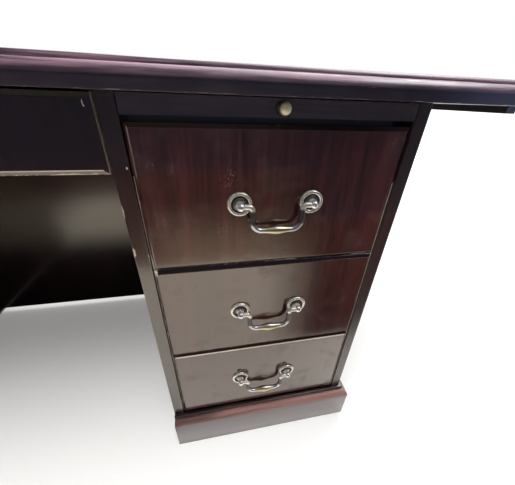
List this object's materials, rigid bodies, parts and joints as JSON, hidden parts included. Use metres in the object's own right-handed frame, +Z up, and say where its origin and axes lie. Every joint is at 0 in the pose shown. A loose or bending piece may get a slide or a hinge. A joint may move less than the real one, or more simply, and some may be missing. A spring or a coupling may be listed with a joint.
{
  "type": "pedestal desk",
  "caption": "Pedestal writing desk in dark lacquered wood with a moulded overhanging top, drawers on brass bail pulls, pull-out writing slides, a kneehole drawer and a modesty panel.",
  "frame": {"origin": "on the floor under the middle of the top", "axes": "+X along the desk to the sitter's right, +Y away from the sitter, +Z up"},
  "size_m": [1.829, 0.914, 0.7644],
  "materials": {
    "top_lacquer": "dark lacquer",
    "case_lacquer": "dark lacquer",
    "front_lacquer": "dark lacquer",
    "base_lacquer": "dark lacquer",
    "slide_lacquer": "dark lacquer",
    "drawer_wood": "clear sealed",
    "bottom_panel": "thin panel, sealed",
    "pull_brass": "antiqued",
    "knob_brass": "antiqued"
  },
  "bodies": {
    "desk": {"centre_drawer_runners": "drawer_wood", "left_back_panel": "case_lacquer", "left_base_moulding": "base_lacquer", "left_drawer_rails": "case_lacquer", "left_drawer_runners": "drawer_wood", "left_floor_panel": "case_lacquer", "left_inner_side": "case_lacquer", "left_outer_side": "case_lacquer", "modesty_panel": "case_lacquer", "right_back_panel": "case_lacquer", "right_base_moulding": "base_lacquer", "right_drawer_rails": "case_lacquer", "right_drawer_runners": "drawer_wood", "right_floor_panel": "case_lacquer", "right_inner_side": "case_lacquer", "right_outer_side": "case_lacquer", "top_dowels": "drawer_wood", "top_edge_moulding": "top_lacquer", "top_end_cleats": "top_lacquer", "top_panel": "top_lacquer"},
    "right_top_drawer": {"right_top_drawer_front": "front_lacquer", "right_top_drawer_box": "drawer_wood", "right_top_drawer_bottom": "bottom_panel", "right_top_drawer_pull_posts": "pull_brass"},
    "right_top_bail": {"right_top_drawer_pull_bail": "pull_brass"},
    "right_middle_drawer": {"right_middle_drawer_front": "front_lacquer", "right_middle_drawer_box": "drawer_wood", "right_middle_drawer_bottom": "bottom_panel", "right_middle_drawer_pull_posts": "pull_brass"},
    "right_middle_bail": {"right_middle_drawer_pull_bail": "pull_brass"},
    "right_lower_drawer": {"right_lower_drawer_front": "front_lacquer", "right_lower_drawer_box": "drawer_wood", "right_lower_drawer_bottom": "bottom_panel", "right_lower_drawer_pull_posts": "pull_brass"},
    "right_lower_bail": {"right_lower_drawer_pull_bail": "pull_brass"},
    "right_writing_slide": {"right_writing_slide_board": "slide_lacquer", "right_writing_slide_lipping": "front_lacquer", "right_writing_slide_knob": "knob_brass"},
    "left_top_drawer": {"left_top_drawer_front": "front_lacquer", "left_top_drawer_box": "drawer_wood", "left_top_drawer_bottom": "bottom_panel", "left_top_drawer_pull_posts": "pull_brass"},
    "left_top_bail": {"left_top_drawer_pull_bail": "pull_brass"},
    "left_middle_drawer": {"left_middle_drawer_front": "front_lacquer", "left_middle_drawer_box": "drawer_wood", "left_middle_drawer_bottom": "bottom_panel", "left_middle_drawer_pull_posts": "pull_brass"},
    "left_middle_bail": {"left_middle_drawer_pull_bail": "pull_brass"},
    "left_lower_drawer": {"left_lower_drawer_front": "front_lacquer", "left_lower_drawer_box": "drawer_wood", "left_lower_drawer_bottom": "bottom_panel", "left_lower_drawer_pull_posts": "pull_brass"},
    "left_lower_bail": {"left_lower_drawer_pull_bail": "pull_brass"},
    "left_writing_slide": {"left_writing_slide_board": "slide_lacquer", "left_writing_slide_lipping": "front_lacquer", "left_writing_slide_knob": "knob_brass"},
    "centre_drawer": {"centre_drawer_front": "front_lacquer", "centre_drawer_box": "drawer_wood", "centre_drawer_bottom": "bottom_panel"}
  },
  "joints": [
    {"name": "right_top_drawer_slide", "type": "slide", "parent": "desk", "child": "right_top_drawer", "axis": [0, -1, 0], "range_m": [0, 0.4]},
    {"name": "right_top_bail_swing", "type": "hinge", "parent": "right_top_drawer", "child": "right_top_bail", "pos_m": [0.547, -0.4395, 0.6065], "axis": [-1, 0, 0], "range_deg": [-8, 170]},
    {"name": "right_middle_drawer_slide", "type": "slide", "parent": "desk", "child": "right_middle_drawer", "axis": [0, -1, 0], "range_m": [0, 0.4]},
    {"name": "right_middle_bail_swing", "type": "hinge", "parent": "right_middle_drawer", "child": "right_middle_bail", "pos_m": [0.547, -0.4395, 0.406], "axis": [-1, 0, 0], "range_deg": [-8, 170]},
    {"name": "right_lower_drawer_slide", "type": "slide", "parent": "desk", "child": "right_lower_drawer", "axis": [0, -1, 0], "range_m": [0, 0.4]},
    {"name": "right_lower_bail_swing", "type": "hinge", "parent": "right_lower_drawer", "child": "right_lower_bail", "pos_m": [0.547, -0.4395, 0.2055], "axis": [-1, 0, 0], "range_deg": [-8, 170]},
    {"name": "right_writing_slide_pull", "type": "slide", "parent": "desk", "child": "right_writing_slide", "axis": [0, -1, 0], "range_m": [0, 0.3]},
    {"name": "left_top_drawer_slide", "type": "slide", "parent": "desk", "child": "left_top_drawer", "axis": [0, -1, 0], "range_m": [0, 0.4]},
    {"name": "left_top_bail_swing", "type": "hinge", "parent": "left_top_drawer", "child": "left_top_bail", "pos_m": [-0.547, -0.4395, 0.6065], "axis": [-1, 0, 0], "range_deg": [-8, 170]},
    {"name": "left_middle_drawer_slide", "type": "slide", "parent": "desk", "child": "left_middle_drawer", "axis": [0, -1, 0], "range_m": [0, 0.4]},
    {"name": "left_middle_bail_swing", "type": "hinge", "parent": "left_middle_drawer", "child": "left_middle_bail", "pos_m": [-0.547, -0.4395, 0.406], "axis": [-1, 0, 0], "range_deg": [-8, 170]},
    {"name": "left_lower_drawer_slide", "type": "slide", "parent": "desk", "child": "left_lower_drawer", "axis": [0, -1, 0], "range_m": [0, 0.4]},
    {"name": "left_lower_bail_swing", "type": "hinge", "parent": "left_lower_drawer", "child": "left_lower_bail", "pos_m": [-0.547, -0.4395, 0.2055], "axis": [-1, 0, 0], "range_deg": [-8, 170]},
    {"name": "left_writing_slide_pull", "type": "slide", "parent": "desk", "child": "left_writing_slide", "axis": [0, -1, 0], "range_m": [0, 0.3]},
    {"name": "centre_drawer_slide", "type": "slide", "parent": "desk", "child": "centre_drawer", "axis": [0, -1, 0], "range_m": [0, 0.35]}
  ]
}
